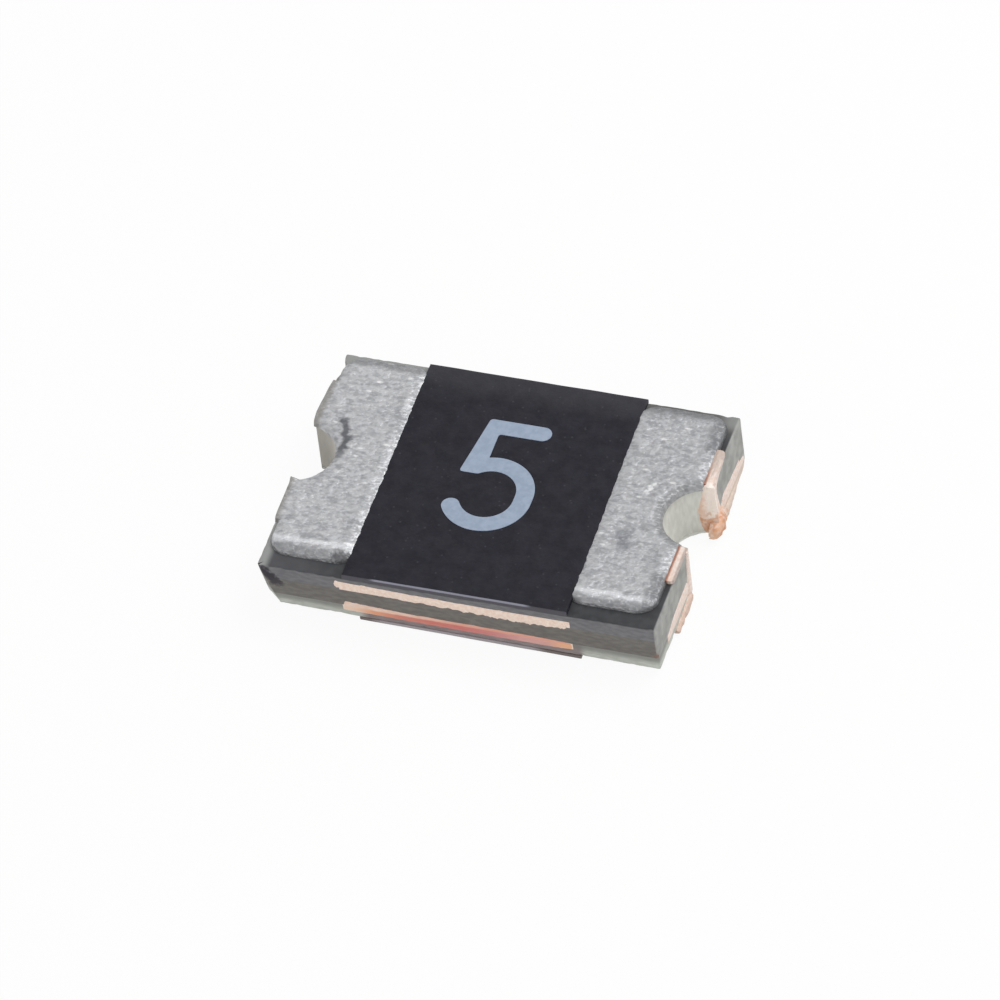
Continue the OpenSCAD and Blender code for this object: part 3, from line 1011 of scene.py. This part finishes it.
def set_at_end(shape, side):
    """Moves a right-hand shape to its end of the chip: side is 1 at the right and -1 at the left."""
    bmesh.ops.scale(shape, vec=(side, 1, 1), verts=shape.verts)
    bmesh.ops.translate(shape, vec=(pattern_x, pattern_y, 0), verts=shape.verts)


def turn_over(draft):
    """Turns a top coat over, about the middle of the board."""
    bmesh.ops.scale(draft, vec=(1, 1, -1), verts=draft.verts)
    bmesh.ops.translate(draft, vec=(0, 0, 2 * board_middle), verts=draft.verts)


def tin_end(side, outer, with_neck, mask_lean, name, node):
    """Tin of one end: both coats and the lining of the half hole."""
    sawn_end = chip_high.x - side * pattern_x - TIN_SETBACK
    if side > 0:
        upper_edge = upper_mask_high.x - pattern_x - mask_lean * chip_high.y
        lower_edge = lower_mask_high.x - pattern_x
    else:
        upper_edge = pattern_x - upper_mask_low.x
        lower_edge = pattern_x - lower_mask_low.x
    shape = bmesh.new()
    upper = tin_coat(outer, with_neck, sawn_end, upper_edge, mask_lean, 10 * side)
    if with_neck:
        for across, height, reach, push in NECK_SWELLS:
            swell(upper.verts, (sawn_end, across, height), reach, push)
    add_shape(shape, upper)
    lower = tin_coat(outer, with_neck, sawn_end, lower_edge, 0, 30 * side)
    turn_over(lower)
    add_shape(shape, lower)
    set_at_end(shape, side)
    make_piece(shape, name, tin, [node], crease=60)
    wall = hole_lining(sawn_end)
    set_at_end(wall, side)
    make_piece(wall, name + "_wall", hole_tin, crease=60)


tin_end(-1, LEFT_TIN_OUTER, True, 0, "left_tin_coat", "left_tin")
tin_end(1, RIGHT_TIN_OUTER, False, MASK_LEAN / (chip_high.y - chip_low.y), "right_tin_coat", "right_tin")


# Solder mask

def stands_off(vert, outer, distance):
    """Whether a vertex lies more than a distance above the board, or below it if outer is -1."""
    return (vert.co.z - board_middle) * outer > board_top - board_middle + distance


def mask_coat(name, node, low, high, lean, outer):
    """A mask with worn edges and a leaning right edge; outer is 1 for the upper one and -1 for the lower."""
    shape = bmesh.new()
    bmesh.ops.create_cube(shape, size=1)
    bmesh.ops.scale(shape, vec=high - low, verts=shape.verts)
    bmesh.ops.translate(shape, vec=(low + high) / 2, verts=shape.verts)
    back_right = [vert for vert in shape.verts if vert.co.x > 0 and vert.co.y > 0]
    bmesh.ops.translate(shape, vec=(-lean, 0, 0), verts=back_right)
    rim = [edge for edge in shape.edges if all(stands_off(vert, outer, MASK_WEAR) for vert in edge.verts)]
    round_off(shape, rim, MASK_WEAR, 3)
    slice_shape(shape, 0, low.x, high.x, BOARD_CELL)
    slice_shape(shape, 1, low.y, high.y, BOARD_CELL)
    shape.normal_update()
    outside = [vert for vert in shape.verts if stands_off(vert, outer, MASK_OUTSIDE)]
    roughen(outside, *MASK_GRAIN, outer)
    make_piece(shape, name, black_coat, [node])


mask_coat("upper_black_coat", "upper_mask", upper_mask_low, upper_mask_high, MASK_LEAN, 1)
mask_coat("lower_black_coat", "lower_mask", lower_mask_low, lower_mask_high, 0, -1)


# Rating mark

def draw_to(draft, path, x, y):
    """Goes on with a path in a straight line."""
    vert = draft.verts.new((x, y, 0))
    if path:
        draft.edges.new((path[-1], vert))
    path.append(vert)


def swing_to(draft, path, centre, angle, steps):
    """Goes on with a path in an arc around a centre."""
    turned = bmesh.ops.spin(draft, geom=[path[-1]], cent=(*centre, 0), axis=UP, angle=angle, steps=steps)
    path.append(verts_of(turned["geom_last"])[0])


def is_corner(vert):
    """Whether an outline turns sharply at a vertex."""
    first, second = (edge.other_vert(vert).co - vert.co for edge in vert.link_edges)
    return first.angle(second) < math.radians(150)


def rating_mark():
    """The printed numeral as one outline: a bar with a round end, a leaning stem and an open bowl."""
    height = mark_high.y - mark_low.y
    stroke = 0.124 * height
    bowl = 0.246 * height
    outer = bowl + stroke / 2
    inner = bowl - stroke / 2
    low = outer
    high = low + 0.052 * height
    bar_start = -0.18 * height
    bar_end = 0.20 * height
    stem_lean = 0.07 * height
    stem_right = bar_start + 0.75 * stroke
    foot = 0.5 * height
    tail = math.radians(29)
    # Angles at which the bowl's outer edge reaches the stem and its inner edge the foot of the stem
    outer_end = math.radians(107.6)
    inner_end = math.pi - math.asin((foot - high) / inner)

    draft = bmesh.new()
    path = []
    draw_to(draft, path, -outer * math.cos(tail), low - outer * math.sin(tail))
    swing_to(draft, path, (0, low), math.pi - tail, 40)
    draw_to(draft, path, outer, high)
    swing_to(draft, path, (0, high), outer_end, 36)
    draw_to(draft, path, stem_right, high + low)
    draw_to(draft, path, stem_right, height - stroke)
    draw_to(draft, path, bar_end, height - stroke)
    swing_to(draft, path, (bar_end, height - stroke / 2), math.pi, 16)
    draw_to(draft, path, bar_start, height)
    draw_to(draft, path, bar_start - stem_lean, foot)
    draw_to(draft, path, inner * math.cos(inner_end), foot)
    swing_to(draft, path, (0, high), -inner_end, 36)
    draw_to(draft, path, inner, low)
    swing_to(draft, path, (0, low), tail - math.pi, 40)
    swing_to(draft, path, (-bowl * math.cos(tail), low - bowl * math.sin(tail)), math.pi, 16)
    fill_outline(draft)
    corners = [vert for vert in draft.verts if is_corner(vert)]
    round_off(draft, corners, INK_CORNER, 5, affect="VERTICES")
    lifted = bmesh.ops.extrude_face_region(draft, geom=draft.faces[:], use_keep_orig=True)["geom"]
    bmesh.ops.translate(draft, vec=(0, 0, mark_high.z - mark_low.z), verts=verts_of(lifted))
    bowl_x = min(mark_high.x - outer, mark_low.x + outer)
    bmesh.ops.translate(draft, vec=(bowl_x, mark_low.y, mark_low.z), verts=draft.verts)
    make_piece(draft, "printed_mark", pale_ink, ["rating_mark"])


rating_mark()


# Stage, light and camera

def seen_share(tree):
    """A mask that is 1 for rays from the camera, mirrored ones and those that pass through a surface."""
    rays = add_node(tree, "ShaderNodeLightPath").outputs
    seen = math_node(tree, "MAXIMUM", rays["Is Camera Ray"], rays["Is Glossy Ray"])
    return math_node(tree, "MAXIMUM", seen, rays["Is Transmission Ray"])


def make_floor():
    """A pale floor that keeps a faint shadow and looks white to the camera."""
    shape = bmesh.new()
    bmesh.ops.create_grid(shape, x_segments=1, y_segments=1, size=0.5)
    bmesh.ops.translate(shape, vec=(0, 0, -FLOOR_GAP * MM), verts=shape.verts)
    mesh = new_mesh(shape, "floor")
    finish = bpy.data.materials.new("pale_floor")
    finish.use_nodes = True
    tree = finish.node_tree
    tree.nodes.clear()
    leave = add_node(tree, "ShaderNodeOutputMaterial")
    paint = add_node(tree, "ShaderNodeBsdfDiffuse", Color=(0.93, 0.93, 0.93, 1))
    glow = add_node(tree, "ShaderNodeEmission", Color=(1, 1, 1, 1), Strength=1.0)
    share = math_node(tree, "MULTIPLY", seen_share(tree), 0.93)
    blend = add_node(tree, "ShaderNodeMixShader", i0=share, i1=paint.outputs[0], i2=glow.outputs[0])
    tree.links.new(blend.outputs[0], leave.inputs["Surface"])
    mesh.materials.append(finish)
    floor = add_object("floor", mesh)


def make_world():
    """Soft light from all round; it looks white to the camera and in reflections."""
    world = bpy.data.worlds.new("studio")
    bpy.context.scene.world = world
    world.use_nodes = True
    tree = world.node_tree
    sky = tree.nodes["Background"]
    sky.inputs["Color"].default_value = (1, 1, 1, 1)
    tree.links.new(ramp_value(tree, seen_share(tree), 0.0, 1.0, 0.5, 1.0), sky.inputs["Strength"])


def make_lamp(name, place, size, share):
    """A square lamp that faces the chip; share is what it adds to a face that looks straight at it."""
    distance = place.length * MM
    lamp = bpy.data.lights.new(name, "AREA")
    lamp.size = size * MM
    lamp.energy = share * math.pi ** 2 * distance ** 2
    holder = add_object(name, lamp)
    holder.location = place * MM
    holder.rotation_euler = (-place).to_track_quat("-Z", "Y").to_euler()


def make_camera():
    """A long lens at the photograph's angle."""
    place = Vector((31.94, -76.87, 87.74))
    aim = Vector((-0.052, 0.116, 0.29))
    roll = math.radians(-7.37)
    lens = bpy.data.cameras.new("camera")
    lens.sensor_width = 36
    lens.lens = 540
    lens.clip_start = 0.01
    lens.clip_end = 2
    camera = add_object("camera", lens)
    camera.location = place * MM
    facing = (aim - place).to_track_quat("-Z", "Y")
    camera.rotation_euler = (facing @ Quaternion(UP, roll)).to_euler()
    bpy.context.scene.camera = camera


make_floor()
make_world()
make_lamp("key", Vector((14, 14, 30)), 24, 0.5)
make_lamp("front_fill", Vector((-4, -30, 12)), 20, 0.16)
make_camera()
bpy.context.scene.view_settings.view_transform = "Standard"
